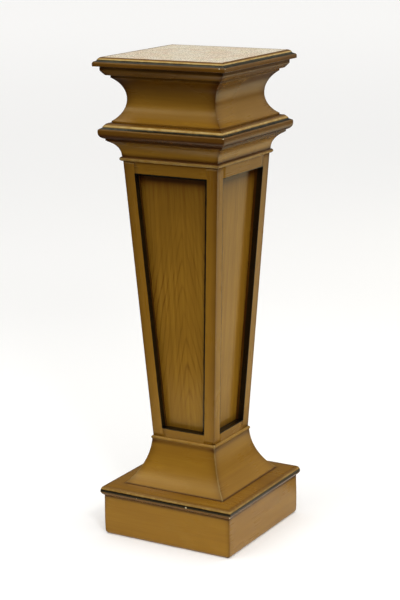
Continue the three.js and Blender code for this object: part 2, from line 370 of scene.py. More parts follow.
def plain_marks(section, glaze_share=0.75, wear_share=0.35):
    """The finish of any section: dark where it is hollow, a little worn where it is sharp."""
    full_hollow, full_proud = 1.3 * MM, 0.30 * MM
    return {
        "glaze": glaze_share * np.clip(section["hollow"] / full_hollow, 0, 1),
        "worn": wear_share * np.clip(section["proud"] / full_proud, 0, 1),
        "paint": np.zeros(len(section["proud"])),
    }


def quirk_marks(section):
    """A moulding with a bead, a painted quirk and a rounded nose: a painted highlight in gold on the bead,
    and glaze with painted shade on the nose.

    The quirk is the deepest hollow near the outer top edge. The bead rises on its inner side, and the
    nose falls away beyond it.
    """
    half, height = section["at"].T
    marks = plain_marks(section, wear_share=0.0)
    outer = (half > half.max() - 12 * MM) & (height > height.max() - 14 * MM)
    quirk = int(np.where(outer, section["hollow"], -1).argmax())
    beyond = half - half[quirk]
    rise = height - height[quirk]
    bead = rise.max()
    quirk_width, paint_fade = 5.0 * MM, 0.8 * MM
    in_quirk = (beyond > -2.5 * MM) & (rise < 0.18 * bead) & (rise > -6 * MM)
    painted = np.clip((quirk_width - beyond) / paint_fade + 0.5, 0, 1)
    # Glaze with painted shade on the nose: darker where it faces down, darkest on the fillet below.
    downward = np.clip(-section["out"][:, 1], 0, 1)
    nose = rise < -1 * MM
    nose_glaze_and_shade = np.where(rise < -14 * MM, 0.96, 0.72 + 0.26 * downward)
    ledge = np.where(beyond < 0, 0.72 * np.clip((rise - 0.62 * bead) / (1.2 * MM), 0, 1), 0)
    marks["paint"] = np.where(in_quirk, painted, 0.0)
    # Painted highlight in pale gold along the bead.
    marks["worn"] = band(rise, 0.30 * bead, 0.58 * bead, 0.9 * MM) * (beyond < 0) * outer
    marks["glaze"] = np.where(nose, nose_glaze_and_shade, np.maximum(0.5 * marks["glaze"], ledge))
    return marks


def bed_marks(section):
    """Glaze and painted shade all over, darkest at the top, under the top frame's nose."""
    marks = plain_marks(section)
    height = section["at"][:, 1]
    share = (height - height.min()) / np.ptp(height)
    marks["glaze"] = np.clip(marks["glaze"] + 0.6 + 0.3 * share, 0, 0.95)
    marks["worn"] *= 0.2
    return marks


def neck_marks(section):
    """Painted shade under the cap, clear on the lower sweep, with a dark line along the foot."""
    marks = plain_marks(section, wear_share=0.0)
    height = section["at"][:, 1]
    low, tall = height.min(), np.ptp(height)
    # Painted shade that deepens upwards towards the cap.
    upper = np.clip((height - low - 0.34 * tall) / (0.5 * tall), 0, 1)
    foot = band(height, -math.inf, low + 3.5 * MM, 3 * MM)
    marks["glaze"] = np.clip(0.5 * marks["glaze"] + 0.64 * upper + 0.5 * foot, 0, 0.92)
    return marks


def cove_marks(section):
    """Painted shade at the top under the cornice, darker just above the bead, clearer in the middle; the
    bead has a painted highlight in gold.
    """
    marks = plain_marks(section)
    height = section["at"][:, 1]
    low, high = height.min(), height.max()
    above_bead, top_reach = low + 8 * MM, 13 * MM
    # Painted shade under the cornice, fading down from the top.
    top = np.clip((height - high + top_reach) / top_reach, 0, 1)
    foot = band(height, above_bead - 2 * MM, above_bead + 6 * MM, 6 * MM)
    bead = height < above_bead - 1.5 * MM
    marks["glaze"] = np.where(bead, 0.25, np.clip(0.12 + 0.55 * top + 0.85 * foot, 0, 0.94))
    # Painted highlight on the bead.
    marks["worn"] = np.where(bead, 0.3, 0.0)
    return marks


def flare_marks(section):
    """Clear wood, with a dark line along the foot, and painted shade below the bead."""
    marks = plain_marks(section)
    height = section["at"][:, 1]
    low, high = height.min(), height.max()
    foot = band(height, -math.inf, low + 3.4 * MM, 1.2 * MM)
    # Painted shade below the bead.
    under_bead = band(height, high - 16 * MM, high - 7 * MM, 6 * MM)
    marks["glaze"] = np.clip(0.08 + 0.9 * foot + 0.55 * under_bead, 0, 0.96)
    marks["worn"] *= 0.6 * (height > low + 5 * MM)
    return marks


def box_marks(section):
    """Plinth sides: a painted shadow in a strip under the nosing, and soft painted shade at the top and at
    the foot.
    """
    marks = plain_marks(section)
    height = section["at"][:, 1]
    low, high = height.min(), height.max()
    # Painted shadow under the nosing.
    strip = band(height, high - 4.5 * MM, math.inf, 2.0 * MM)
    fade = 9 * MM
    top = np.exp(-(high - height) / fade)
    foot = np.exp(-(height - low) / fade)
    marks["glaze"] = np.clip(0.55 * strip + 0.35 * top + 0.30 * foot, 0, 0.92)
    marks["worn"] *= 0.3
    return marks


def nosing_marks(section):
    """A black line at the widest part of the nose, with a painted highlight above it as a pale line.

    The underside carries painted shade, and a dark line of glaze runs round the foot of the flare above.
    """
    half, height = section["at"].T
    flare_foot = -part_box("flared_base_front")[0].y
    outer = half > half.max() - 9 * MM
    below = height.max() - height
    black = band(below, 8.4 * MM, 14.2 * MM, 1.0 * MM)
    # pale is a painted highlight along the top of the roundover; under is painted shade on the underside.
    pale = band(below, 4.8 * MM, 8.2 * MM, 1.4 * MM)
    under = np.clip((below - 12 * MM) / (3 * MM), 0, 1)
    rolling = band(below, 0.4 * MM, 4.8 * MM, 2 * MM)
    foot_line = np.exp(-np.abs(half - flare_foot - 0.5 * MM) / (1.9 * MM))
    edge_glaze_and_shade = 0.33 + 0.26 * rolling + 0.12 * pale + 0.4 * under
    return {
        "glaze": np.where(outer, edge_glaze_and_shade, 0.33 + 0.66 * foot_line),
        "worn": np.where(outer, 0.34 * pale, 0.0),
        "paint": np.where(outer, black, 0.0),
    }


def slab_marks(section):
    """Stone has no glaze, wear or paint."""
    bare = np.zeros(len(section["proud"]))
    return {"glaze": bare, "worn": bare, "paint": bare}


def prism_piece(node, section_axis, material, turn, marks, pitch=12 * MM, levels=()):
    """A straight wooden member rebuilt from its section, with ends cut on the node's own end planes.

    Posts run along Z and lean with the column. Rails run along X and reach a little under the posts.
    levels are heights at which a post gets an extra row of points.
    """
    spin = Matrix.Rotation(-turn * math.pi / 2, 3, "Z")
    bm = node_bmesh(node)
    bmesh.ops.transform(bm, matrix=spin.to_4x4(), verts=bm.verts)
    bm.normal_update()
    ends = []
    for sign in (-1, 1):
        face = max(bm.faces, key=lambda f: f.normal.dot(Vector(section_axis) * sign))
        corners = np.array([v.co for v in face.verts])
        ends.append((face.calc_center_median(), face.normal.copy(), corners))
    bm.free()
    (first, first_normal, outline), (last, last_normal, _) = ends
    upright = section_axis[2] == 1
    axis = 2 if upright else 0
    across = [k for k in range(3) if k != axis]
    reach = last[axis] - first[axis]
    lean = np.array(last - first) / reach if upright else np.zeros(3)
    tuck, set_back = (0.0, 0.0) if upright else (JOINT_TUCK, RAIL_SETBACK)
    section = section_of(outline[:, across], CUT_SOFTNESS)
    count = max(4, int(round(abs(reach) / pitch)))
    shares = [j / count for j in range(count + 1)]
    shares = sorted(shares + [(level - first[axis]) / reach for level in levels])
    shift = Vector((0.37 * turn, 0.71 * len(node), 0.53 * turn))

    def on_plane(centre, normal, flat):
        """Where the line along the member through flat meets an end plane."""
        known = sum(normal[k] * (flat[n] - centre[k]) for n, k in enumerate(across))
        return centre[axis] - known / normal[axis]

    points, grain = [], []
    for share in shares:
        for i, flat in enumerate(section["at"]):
            start = on_plane(first, first_normal, flat)
            stop = last[2] if upright else on_plane(last, last_normal, flat)
            place = start - tuck + share * (stop - start + 2 * tuck)
            point = [0.0, 0.0, 0.0]
            point[axis] = place
            for n, k in enumerate(across):
                point[k] = flat[n] + lean[k] * (place - start)
            point[1] += set_back
            swell = unevenness((point[0] + shift.x, point[1] + shift.y, point[2]), FRAME_SWELL)
            for n, k in enumerate(across):
                point[k] += section["out"][i][n] * swell * (0 < share < 1)
            points.append(tuple(point))
            grain.append((point[axis] + shift.x, flat[0] + shift.y, flat[1] + shift.z))
    attributes = {"grain": grain, **marks(np.array(points))}
    faces = quads_between(len(shares), len(section["at"]))
    return add_piece(node + "_visual", points, faces, attributes, node, material, turn)


def square_board_piece(node, material, corner_radius, marks, pitch=12 * MM):
    """A solid square board rebuilt from the outline of its edge, with one flat face above and below."""
    low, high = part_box(node)
    bm = node_bmesh(node)
    edge = {(round(-v.co.y, 6), round(v.co.z, 6)) for v in bm.verts if v.co.y < 0 and v.co.x > 0}
    bm.free()
    edge = sorted(sorted(edge), key=lambda place: place[1])
    middle = 0.5 * high.x
    outline = [(middle, edge[0][1])] + edge + [(middle, edge[-1][1])]
    section = section_of(np.array(outline), chord=BOARD_CHORD)
    half, height = section["at"].T
    start = int(np.argmin(half + np.where(height < (low.z + high.z) / 2, 0, 1)))
    order = [(start + i) % len(half) for i in range(len(half))]
    outer = [i for i in order if half[i] > middle + 0.5 * MM]
    marked = {key: values[outer] for key, values in marks(section).items()}
    stations = side_stations(4, pitch, high.x)
    shift = 9.3
    points, grain = [], []
    for turn in range(4):
        spin = Matrix.Rotation(turn * math.pi / 2, 3, "Z")
        for share, angle in stations[:-1]:
            for i in outer:
                inner = half[i] - corner_radius
                x = share * inner + corner_radius * math.sin(angle)
                out = inner + corner_radius * math.cos(angle)
                place = spin @ Vector((x, -out, height[i]))
                points.append(tuple(place))
                grain.append((place.x + shift, place.y, place.z))
    wide = len(outer)
    count = len(points) // wide
    faces = []
    for j in range(count):
        k = (j + 1) % count
        for i in range(wide - 1):
            faces.append((j * wide + i, k * wide + i, k * wide + i + 1, j * wide + i + 1))
    faces.append(tuple(j * wide for j in reversed(range(count))))
    faces.append(tuple(j * wide + wide - 1 for j in range(count)))
    attributes = {"grain": grain, **{key: np.tile(values, count) for key, values in marked.items()}}
    return add_piece(node + "_visual", points, faces, attributes, node, material)


# ---------------------------------------------------------------- material nodes


class Nodes:
    """Short calls for building one material's node tree."""

    def __init__(self, name):
        self.material = bpy.data.materials.new(name)
        self.material.use_nodes = True
        self.tree = self.material.node_tree
        self.tree.nodes.clear()
        self.shader = self.tree.nodes.new("ShaderNodeBsdfPrincipled")
        output = self.tree.nodes.new("ShaderNodeOutputMaterial")
        self.tree.links.new(self.shader.outputs[0], output.inputs[0])

    def link(self, value, socket):
        if isinstance(value, bpy.types.NodeSocket):
            self.tree.links.new(value, socket)
        else:
            socket.default_value = value

    def set(self, **values):
        for name, value in values.items():
            self.link(value, self.shader.inputs[name.replace("_", " ")])

    def attribute(self, name, vector=False):
        node = self.tree.nodes.new("ShaderNodeAttribute")
        node.attribute_name = name
        return node.outputs["Vector" if vector else "Fac"]

    def object_place(self):
        return self.tree.nodes.new("ShaderNodeTexCoord").outputs["Object"]

    def distance(self, vector, place=(0, 0, 0)):
        node = self.tree.nodes.new("ShaderNodeVectorMath")
        node.operation = "DISTANCE"
        self.link(vector, node.inputs[0])
        node.inputs[1].default_value = place
        return node.outputs["Value"]

    def maths(self, operation, a, b=0.0, clamp=False):
        node = self.tree.nodes.new("ShaderNodeMath")
        node.operation = operation
        node.use_clamp = clamp
        self.link(a, node.inputs[0])
        self.link(b, node.inputs[1])
        return node.outputs[0]

    def stretched(self, vector, scale, move=(0, 0, 0)):
        node = self.tree.nodes.new("ShaderNodeMapping")
        self.link(vector, node.inputs["Vector"])
        node.inputs["Scale"].default_value = scale
        node.inputs["Location"].default_value = move
        return node.outputs[0]

    def noise(self, vector, scale=1.0, detail=3.0, roughness=0.5, distortion=0.0):
        node = self.tree.nodes.new("ShaderNodeTexNoise")
        self.link(vector, node.inputs["Vector"])
        node.inputs["Scale"].default_value = scale
        node.inputs["Detail"].default_value = detail
        node.inputs["Roughness"].default_value = roughness
        node.inputs["Distortion"].default_value = distortion
        return node.outputs["Fac"]

    def steps(self, value, low, high, to_low=0.0, to_high=1.0, smooth=False):
        node = self.tree.nodes.new("ShaderNodeMapRange")
        node.interpolation_type = "SMOOTHSTEP" if smooth else "LINEAR"
        node.clamp = True
        self.link(value, node.inputs["Value"])
        for key, number in zip(
            ("From Min", "From Max", "To Min", "To Max"), (low, high, to_low, to_high)
        ):
            node.inputs[key].default_value = number
        return node.outputs[0]

    def mix(self, share, a, b, kind="MIX"):
        node = self.tree.nodes.new("ShaderNodeMix")
        node.data_type = "RGBA"
        node.blend_type = kind
        self.link(share, node.inputs["Factor"])
        colours = [s for s in node.inputs if s.type == "RGBA"]
        self.link(a, colours[0])
        self.link(b, colours[1])
        return [s for s in node.outputs if s.type == "RGBA"][0]

    def bump(self, height, strength, distance):
        node = self.tree.nodes.new("ShaderNodeBump")
        node.inputs["Strength"].default_value = strength
        node.inputs["Distance"].default_value = distance
        self.link(height, node.inputs["Height"])
        return node.outputs[0]


def srgb(code):
    """Linear colour of a hexadecimal display colour."""
    parts = [int(code[i : i + 2], 16) / 255 for i in (0, 2, 4)]
    return tuple(c / 12.92 if c < 0.04045 else ((c + 0.055) / 1.055) ** 2.4 for c in parts) + (1.0,)


WOOD_LIGHT = srgb("ac8028")
WOOD_MID = srgb("996e1d")
WOOD_DARK = srgb("774c10")
GLAZE_AND_SHADE_BROWN = srgb("3e1903")
WEAR_AND_HIGHLIGHT_GOLD = srgb("e4cd88")
CHIP_CREAM = srgb("cdbf98")
PAINT_BLACK = srgb("120e08")
PAINT_GREEN = srgb("2f2d1e")


def chip_places():
    """Small knocks down to the pale ground: where each lies and how far it reaches."""
    cap_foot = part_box("top_frame_rail_front")[0].z
    cap = -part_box("top_frame_rail_front")[0].y
    cornice_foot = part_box("cornice_front")[0].z
    cornice = -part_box("cornice_front")[0].y
    nose_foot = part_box("plinth_top_board")[0].z
    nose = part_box("plinth_top_board")[1].x
    return (
        ((cap - 12.5 * MM, -cap, cap_foot + 8.4 * MM), 1.4 * MM),
        ((cap, -cap + 3.0 * MM, cap_foot + 8.0 * MM), 1.3 * MM),
        ((cornice - 2.0 * MM, -cornice, cornice_foot + 24 * MM), 1.3 * MM),
        ((nose - 1.5 * MM, -nose + 1.5 * MM, nose_foot + 5.5 * MM), 1.8 * MM),
        ((-70 * MM, -nose, nose_foot + 9 * MM), 1.3 * MM),
        ((56 * MM, -nose, nose_foot + 10 * MM), 1.8 * MM),
    )


def chipped(n):
    """1 inside a chip, with a ragged edge."""
    here = n.object_place()
    rough = n.noise(n.stretched(here, CHIP_EDGES), detail=2)
    ragged = n.steps(rough, 0.3, 0.7, -0.9 * MM, 0.9 * MM)
    share = 0.0
    for place, reach in chip_places():
        inside = n.maths("SUBTRACT", reach, n.maths("ADD", n.distance(here, place), ragged))
        share = n.maths("MAXIMUM", share, n.steps(inside, -0.2 * MM, 0.5 * MM))
    return share


def lacquered_wood(name, figure, paint_tint, fibre_share=0.3, gloss=(0.20, 0.34)):
    """Satin lacquer over stained wood. figure builds the grain's share of light and dark.

    gloss is the roughness where the lacquer is thickest and where it is thinnest.
    """
    n = Nodes(name)
    grain = n.attribute("grain", vector=True)
    fibre = n.noise(n.stretched(grain, FIBRES), detail=4, roughness=0.6)
    blotch = n.noise(n.stretched(grain, BLOTCHES), detail=2, roughness=0.5)
    base = n.mix(figure(n, grain), WOOD_DARK, WOOD_LIGHT)
    base = n.mix(n.steps(fibre, 0.3, 0.75, 0.0, fibre_share), base, WOOD_DARK)
    base = n.mix(n.steps(blotch, 0.35, 0.7, 0.0, 0.4), base, WOOD_MID)

    # Glaze, plus painted shade under overhangs, at the column's head and round the panels, darkens the
    # colour to brown.
    uneven_glaze_and_shade = n.maths("ADD", n.attribute("glaze"), n.steps(blotch, 0.3, 0.7, -0.08, 0.08))
    base = n.mix(n.steps(uneven_glaze_and_shade, 0.04, 1.0, 0.0, 0.95), base, GLAZE_AND_SHADE_BROWN)

    patchy = n.noise(n.stretched(grain, PATCHES), detail=3, roughness=0.6)
    # Wear, plus painted highlights on the beads and along the plinth's nosing, turns the colour pale gold.
    wear_and_highlight_share = n.maths("MULTIPLY", n.attribute("worn"), n.steps(patchy, 0.35, 0.62, 0.35, 1.0))
    base = n.mix(n.maths("MULTIPLY", wear_and_highlight_share, 0.66), base, WEAR_AND_HIGHLIGHT_GOLD)

    # Black paint, and on the panels a painted shadow along the top and down the front panel's right side.
    ragged = n.noise(n.stretched(grain, PAINT_EDGES), detail=3, roughness=0.6)
    painted = n.maths("ADD", n.attribute("paint"), n.steps(ragged, 0.3, 0.7, -0.12, 0.12))
    black = n.mix(n.steps(patchy, 0.35, 0.65), PAINT_BLACK, paint_tint)
    base = n.mix(n.steps(painted, 0.35, 0.65), base, black)
    base = n.mix(chipped(n), base, CHIP_CREAM)

    uneven_gloss = n.maths("ADD", blotch, n.maths("MULTIPLY", fibre, 0.3))
    pores = n.noise(n.stretched(grain, PORES), detail=2, roughness=0.5)
    orange_peel = n.noise(n.stretched(grain, ORANGE_PEEL), detail=1)
    relief = n.maths("ADD", n.steps(pores, 0.35, 0.6), n.maths("MULTIPLY", orange_peel, 0.4))
    n.set(
        Base_Color=base,
        Roughness=n.steps(uneven_gloss, 0.3, 0.9, *gloss),
        Specular_IOR_Level=0.34,
        Specular_Tint=(1.0, 0.80, 0.42, 1.0),
        Normal=n.bump(relief, 0.10, 0.2 * MM),
    )
    return n.material


def straight_figure(n, grain):
    """Quiet, nearly straight grain of moulded solid wood."""
    wander = n.noise(n.stretched(grain, WANDER), detail=3, roughness=0.55, distortion=0.4)
    streaks = n.noise(n.stretched(grain, MOULDING_STREAKS), detail=4, roughness=0.6)
    share = n.maths("ADD", n.maths("MULTIPLY", wander, 0.45), n.maths("MULTIPLY", streaks, 0.55))
    return n.steps(share, 0.25, 0.75, 0.22, 0.82)


def veneer_figure(n, grain):
    """Upright cathedral figure: nested pointed arches, thin and dark, over fine straight streaks.

    The arches fade towards the panel's foot and again above its middle.
    """
    split = n.tree.nodes.new("ShaderNodeSeparateXYZ")
    n.link(grain, split.inputs[0])
    along, wide = split.outputs[0], split.outputs[1]
    wobble = n.noise(n.stretched(grain, ARCH_WOBBLE), detail=4, roughness=0.5)
    sway = n.maths("MULTIPLY", n.maths("SUBTRACT", wobble, 0.5), FIGURE_SWAY)
    across = n.maths("ADD", wide, sway)
    square = n.maths("ADD", n.maths("MULTIPLY", across, across), FIGURE_TIP * FIGURE_TIP)
    climb = n.maths("ADD", n.maths("SQRT", square), n.maths("MULTIPLY", along, FIGURE_SLOPE))
    ring = n.maths("FRACT", n.maths("DIVIDE", climb, FIGURE_PITCH))
    line = n.maths("MULTIPLY", n.steps(ring, 0.52, 0.70), n.steps(ring, 0.74, 0.92, 1.0, 0.0))
    strength = n.noise(n.stretched(grain, ARCH_STRENGTH, (4, 2, 9)), detail=3)
    drawn = n.maths("MULTIPLY", line, n.steps(strength, 0.36, 0.60, 0.25, 1.0))
    drawn = n.maths("MULTIPLY", drawn, n.steps(along, 0.30, 0.50, 1.0, 0.25, smooth=True))
    drawn = n.maths("MULTIPLY", drawn, n.steps(along, 0.02, 0.18, 0.3, 1.0, smooth=True))
    streaks = n.noise(n.stretched(grain, VENEER_STREAKS), detail=5, roughness=0.66)
    share = n.maths("SUBTRACT", n.steps(streaks, 0.28, 0.66), n.maths("MULTIPLY", drawn, 0.8))
    return n.steps(share, -0.3, 1.0, 0.0, 0.95)


def marble_material():
    """Polished beige stone, softly clouded pink, yellow and grey, with fine veins and specks."""
    n = Nodes("marble_beige")
    place = n.object_place()

    def cloud(density, move, distortion, detail=4, roughness=0.6):
        return n.noise(n.stretched(place, density, move), 1.0, detail, roughness, distortion)

    pink = cloud((20, 20, 20), (0, 0, 0), 0.6, roughness=0.55)
    yellow = cloud((34, 34, 34), (3, 1, 5), 0.8)
    grey = cloud((46, 46, 46), (8, 6, 2), 1.0)
    specks = cloud((330, 330, 330), (0, 0, 0), 0.0, detail=2)
    network = cloud((22, 30, 22), (9, 2, 4), 1.5, detail=6)
    vein = n.maths("ABSOLUTE", n.maths("SUBTRACT", network, 0.5))
    colour = n.mix(n.steps(pink, 0.40, 0.66, smooth=True), srgb("f6ebd3"), srgb("eed7bb"))
    colour = n.mix(n.steps(yellow, 0.48, 0.66, 0.0, 0.6, smooth=True), colour, srgb("ecdcb2"))
    colour = n.mix(n.steps(grey, 0.54, 0.70, 0.0, 0.5, smooth=True), colour, srgb("b9ac8e"))
    colour = n.mix(n.steps(specks, 0.62, 0.78, 0.0, 0.08), colour, srgb("a98e68"))
    colour = n.mix(n.steps(vein, 0.0, 0.012, 0.2, 0.0), colour, srgb("b08a68"))
    n.set(
        Base_Color=colour,
        Roughness=n.steps(specks, 0.4, 0.7, 0.22, 0.38),
        Specular_IOR_Level=0.4,
        Normal=n.bump(specks, 0.05, 0.2 * MM),
    )
    return n.material


def raw_wood_material():
    """Unfinished inner timber."""
    n = Nodes("raw_softwood")
    grain = n.object_place()
    rings = n.noise(n.stretched(grain, (3, 60, 60)), detail=4, roughness=0.6, distortion=0.6)
    fibre = n.noise(n.stretched(grain, (10, 400, 400)), detail=3, roughness=0.6)
    colour = n.mix(n.steps(rings, 0.35, 0.65, smooth=True), srgb("d9b583"), srgb("b98a52"))
    colour = n.mix(n.steps(fibre, 0.4, 0.75, 0.0, 0.4), colour, srgb("8f6534"))
    n.set(
        Base_Color=colour,
        Roughness=n.steps(fibre, 0.3, 0.7, 0.65, 0.85),
        Specular_IOR_Level=0.3,
        Normal=n.bump(fibre, 0.3, 0.3 * MM),
    )
    return n.material


# ---------------------------------------------------------------- pieces


def recess_span():
    """Heights of the foot and the head of the opening in a column face, from its rails."""
    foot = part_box("bottom_rail_front")[1].z
    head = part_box("top_rail_front")[0].z
    return foot, head


def column_half(height):
    """Half width of the tapered column at a height."""
    low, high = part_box("corner_post_front_left")
    post_low = end_face("corner_post_front_left", (0, 0, -1))
    post_high = end_face("corner_post_front_left", (0, 0, 1))
    foot, head = -post_low[:, 0].min(), -post_high[:, 0].min()
    return foot + (head - foot) * (height - low.z) / (high.z - low.z)


def build_column(frame_wood, panel_wood):
    """Four tapered posts, and on each face two rails and a panel, with black paint round the opening and
    painted shadow inside it.
    """
    foot, head = recess_span()
    base, crown = column_half(foot), column_half(head)
    column_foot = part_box("bottom_rail_front")[0].z
    column_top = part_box("top_rail_front")[1].z
    rail_end = end_face("bottom_rail_front", (1, 0, 0))
    lowest = rail_end[np.argmin(rail_end[:, 2])]
    stile = column_half(lowest[2]) - lowest[0]

    def half_at(height):
        return base + (crown - base) * (height - foot) / (head - foot)

    def painted_within(gap):
        """Paint that stops a little way out on the face, as a slope that stays exact between points."""
        return np.clip(0.5 + (LIP_PAINT - gap) / FRAME_PAINT_SLOPE, -1, 1)

    def end_shade(height):
        """Painted shade below the head of the column, under the cap, and a little darker at its foot."""
        below_top = np.maximum(column_top - height, 0)
        above_foot = np.maximum(height - column_foot, 0)
        return 0.34 * np.exp(-below_top / (110 * MM)) + 0.2 * np.exp(-above_foot / (16 * MM))

    def post_marks(points):
        """The recess walls of a front left post are black; its outer arris is glazed."""
        x, y, height = points.T
        half = half_at(height)
        across = np.maximum(half + x, half + y)
        deep = np.minimum(half + x, half + y)
        gap = np.maximum(stile - across, 0)
        outside = np.maximum(foot - height, height - head)
        wall = 0.5 + (WALL_PAINT - deep) / FRAME_PAINT_SLOPE
        inner_wall = np.clip((deep - 9 * MM) / (3 * MM), 0, 1)
        shade = 0.06 + 0.5 * np.exp(-across / (8 * MM)) + end_shade(height)
        return {
            "paint": np.minimum(painted_within(np.maximum(gap, outside)), wall),
            "glaze": np.clip(np.maximum(shade, 0.92 * inner_wall), 0, 1),
            "worn": np.zeros(len(points)),
        }

    def rail_marks(points):
        """A rail is black along its edge beside the opening."""
        height = points[:, 2]
        gap = np.minimum(np.abs(height - foot), np.abs(height - head))
        lip = np.exp(-gap / (3 * MM))
        return {
            "paint": painted_within(gap),
            "glaze": np.clip(0.07 + 0.06 * lip + end_shade(height), 0, 1),
            "worn": np.zeros(len(points)),
        }

    beside_edge = (-3 * MM, -1.5 * MM, 0, 1.5 * MM, 3 * MM)
    edges = [level + step for level in (foot, head) for step in beside_edge]
    for i, corner in enumerate(CORNERS):
        post = f"corner_post_{corner}"
        prism_piece(post, (0, 0, 1), frame_wood, i, post_marks, 9 * MM, edges)
    for i, side in enumerate(SIDES):
        for level in ("top", "bottom"):
            prism_piece(f"{level}_rail_{side}", (1, 0, 0), frame_wood, i, rail_marks)
        build_panel(side, panel_wood, foot, head, lambda height: half_at(height) - stile)


def spaced(low, high, count, near):
    """Even places from low to high, with extra ones at these distances from either end."""
    places = [low + (high - low) * i / count for i in range(count + 1)]
    places += [low + n for n in near] + [high - n for n in near]
    return sorted(places)


def panel_finish(side, left, right, under, over):
    """Glaze, paint, painted shade and painted shadow on a panel, from distances to the opening's two sides,
    head and foot.
    """
    beside = max(min(left, right), 0)
    glaze = 0.10 + 0.24 * math.exp(-beside / (7 * MM)) + 0.26 * math.exp(-over / (14 * MM))
    # Painted shadow of the top rail just below the head, and painted shade that fades down from the head.
    glaze += 0.7 * math.exp(-max(under - 10 * MM, 0) / (9 * MM))
    glaze += 0.50 * math.exp(-under / (120 * MM))
    # The black along the top and the wide black down the front panel's right side are painted shadow;
    # elsewhere it is a thin edge of paint.
    left_rim, right_rim = FRONT_RIM if side == "front" else PLAIN_RIM
    black = max(left_rim - left, right_rim - right, TOP_RIM - under)
    return min(1.0, glaze), max(-1.0, 0.5 + black / PANEL_PAINT_AND_SHADOW_SLOPE)


def board_faces(rows, columns):
    """Faces of a thin board that is gridded front and back alike, with its four edges closed."""
    ring = columns + 1
    back = (rows + 1) * ring
    faces = []
    for layer in (0, back):
        for j in range(rows):
            for i in range(columns):
                a = layer + j * ring + i
                faces.append((a, a + 1, a + ring + 1, a + ring))
    for j in range(rows):
        left, right = j * ring, j * ring + columns
        far_left, far_right = back + right, back + left
        faces.append((left + ring, left, far_left, far_left + ring))
        faces.append((right, right + ring, far_right + ring, far_right))
    top = rows * ring
    for i in range(columns):
        under, over = back + columns - i, back + top + columns - i
        faces.append((i + 1, i, under, under - 1))
        faces.append((top + i, top + i + 1, over - 1, over))
    return faces


def build_panel(side, material, foot, head, opening_at):
    """A thin veneered board, gridded over its face. opening_at gives the opening's half width."""
    turn = SIDES.index(side)
    low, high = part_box("panel_front")

    def width_and_depth(corners, height):
        """Half width and place of a face of the board at a height."""
        top = corners[corners[:, 2] > corners[:, 2].mean()][0]
        bottom = corners[corners[:, 2] < corners[:, 2].mean()][0]
        share = (height - bottom[2]) / (top[2] - bottom[2])
        width = abs(bottom[0]) + share * (abs(top[0]) - abs(bottom[0]))
        return width, bottom[1] + share * (top[1] - bottom[1])

    heights = spaced(low.z, high.z, 110, (2 * MM, 5 * MM, 9 * MM, 14 * MM))
    shares = spaced(-1, 1, 36, (0.03, 0.07, 0.13, 0.19, 0.25))
    figure_shift = 0 if side == "front" else PLAIN_FIGURE_SHIFT
    points, grain, glaze, paint = [], [], [], []
    for sign in (1, -1):
        corners = end_face("panel_front", (0, -sign, 0))
        for z in heights:
            width, depth = width_and_depth(corners, z)
            opening = opening_at(z)
            for share in shares:
                x = sign * width * share
                under, over = max(head - z, 0), max(z - foot, 0)
                glazed_and_shaded, painted = panel_finish(side, opening + x, opening - x, under, over)
                points.append((x, depth, z))
                grain.append((z - foot + figure_shift, x - FIGURE_CENTRES[turn], 0.31 * turn))
                glaze.append(glazed_and_shaded)
                paint.append(painted)
    attributes = {"grain": grain, "worn": np.zeros(len(points)), "glaze": glaze, "paint": paint}
    faces = board_faces(len(heights) - 1, len(shares) - 1)
    node = f"panel_{side}"
    return add_piece(node + "_visual", points, faces, attributes, node, material, turn)


def build_mouldings(wood, nosing_wood):
    """The mitred mouldings and plinth boards, side by side, and the nosed board on the plinth.

    Each row says: kind, radius at the mitre, slot, marks, and the finish beside the mitre as the
    glaze's reach, its amount, and the wear.
    """
    rows = (
        ("top_frame_rail", 0.8 * MM, "moulding", quirk_marks, (3 * MM, 0.2, 0.1)),
        ("bed_mould", 0.8 * MM, "moulding", bed_marks, (5 * MM, 0.6, 0.0)),
        ("neck_moulding", 0.9 * MM, "moulding", neck_marks, (12 * MM, 0.62, 0.0)),
        ("cornice", 0.8 * MM, "moulding", quirk_marks, (3 * MM, 0.2, 0.1)),
        ("cove_moulding", 0.8 * MM, "moulding", cove_marks, (5 * MM, 0.6, 0.0)),
        ("flared_base", 1.0 * MM, "moulding", flare_marks, (9 * MM, 0.6, 0.4)),
        ("plinth_board", 3.2 * MM, "plinth", box_marks, (5 * MM, 0.55, 0.0)),
    )
    for side in SIDES:
        for kind, radius, slot, marks, mitre in rows:
            mitred_piece(kind, side, radius, wood, marks, mitre)
    square_board_piece("plinth_top_board", nosing_wood, 2.0 * MM, nosing_marks)


def build_slab(marble):
    """The marble, with its eased upper arris, on the frame's own section."""
    square_board_piece("marble_slab", marble, 1.2 * MM, slab_marks)


def finish_hidden_nodes(raw):
    """Inner boards and blocks keep their frame meshes, with raw timber on them."""
    for node in frame["nodes"].values():
        if node.hide_render:
            continue
        node.data.materials.clear()
        node.data.materials.append(raw)


# ---------------------------------------------------------------- stage


def outward(azimuth, elevation):
    """The direction from the pedestal at an azimuth, turning from the front to the right, and elevation."""
    flat = math.cos(elevation)
    return Vector((math.sin(azimuth) * flat, -math.cos(azimuth) * flat, math.sin(elevation)))


